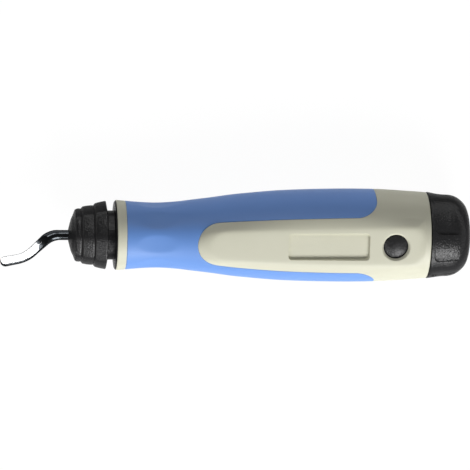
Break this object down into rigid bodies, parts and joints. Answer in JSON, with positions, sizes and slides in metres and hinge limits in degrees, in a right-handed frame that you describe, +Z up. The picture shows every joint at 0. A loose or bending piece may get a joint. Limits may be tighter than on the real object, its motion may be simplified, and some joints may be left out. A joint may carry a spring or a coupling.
{
  "type": "deburring tool",
  "caption": "Hand deburring tool with a swivelling swan-neck blade, a quick-release nose sleeve, a soft-grip handle and a pull-out spare blade magazine.",
  "frame": {"origin": "middle of the tool's length, on the surface that the flat back of the handle lies on", "axes": "+X along the tool from the blade to the end cap, +Z up out of the panel with the push button"},
  "size_m": [0.1502, 0.0296, 0.0278],
  "materials": {
    "polished_steel": "polished hardened steel",
    "turned_steel": "turned, bright",
    "spring_steel": "drawn wire",
    "black_plastic": "satin moulded",
    "black_rubber": "matte",
    "ivory_plastic": "fine grained, moulded",
    "blue_rubber": "satin soft moulding"
  },
  "bodies": {
    "handle": {"handle_body": "ivory_plastic", "soft_grip": "blue_rubber", "front_bush": "black_plastic", "blade_holder": "turned_steel", "lock_ball_1": "polished_steel", "lock_ball_2": "polished_steel", "lock_ball_3": "polished_steel", "snap_ring": "spring_steel", "sleeve_spring": "spring_steel", "holder_washer": "turned_steel", "holder_nut": "turned_steel", "latch_pin": "turned_steel", "latch_spring": "spring_steel"},
    "blade": {"blade": "polished_steel"},
    "sleeve": {"release_sleeve": "black_plastic"},
    "button": {"button": "black_plastic"},
    "latch": {"latch_lever": "turned_steel"},
    "magazine": {"blade_tray": "black_plastic", "end_cap": "black_plastic", "cap_screw": "turned_steel", "seal_ring": "black_rubber", "spare_blade_1": "polished_steel", "spare_blade_2": "polished_steel", "spare_blade_3": "polished_steel"}
  },
  "joints": [
    {"name": "blade_swivel", "type": "hinge", "parent": "handle", "child": "blade", "pos_m": [-0.05, 0, 0.0139], "axis": [1, 0, 0], "continuous": true},
    {"name": "sleeve_pull", "type": "slide", "parent": "handle", "child": "sleeve", "axis": [1, 0, 0], "range_m": [0, 0.0018], "stiffness_N_per_m": 1500, "springref_m": -0.002, "deforming": ["sleeve_spring"]},
    {"name": "button_press", "type": "slide", "parent": "handle", "child": "button", "axis": [0, 0, -1], "range_m": [0, 0.0008], "stiffness_N_per_m": 800, "springref_m": -0.001},
    {"name": "latch_rock", "type": "hinge", "parent": "handle", "child": "latch", "pos_m": [0.0562, 0, 0.0248], "axis": [0, -1, 0], "range_deg": [0, 7.5], "deforming": ["latch_spring"]},
    {"name": "magazine_pull", "type": "slide", "parent": "handle", "child": "magazine", "axis": [1, 0, 0], "range_m": [0, 0.06]}
  ],
  "couplings": [
    {"joint": "latch_rock", "follows": "button_press", "rad_per_m": 161.29}
  ]
}
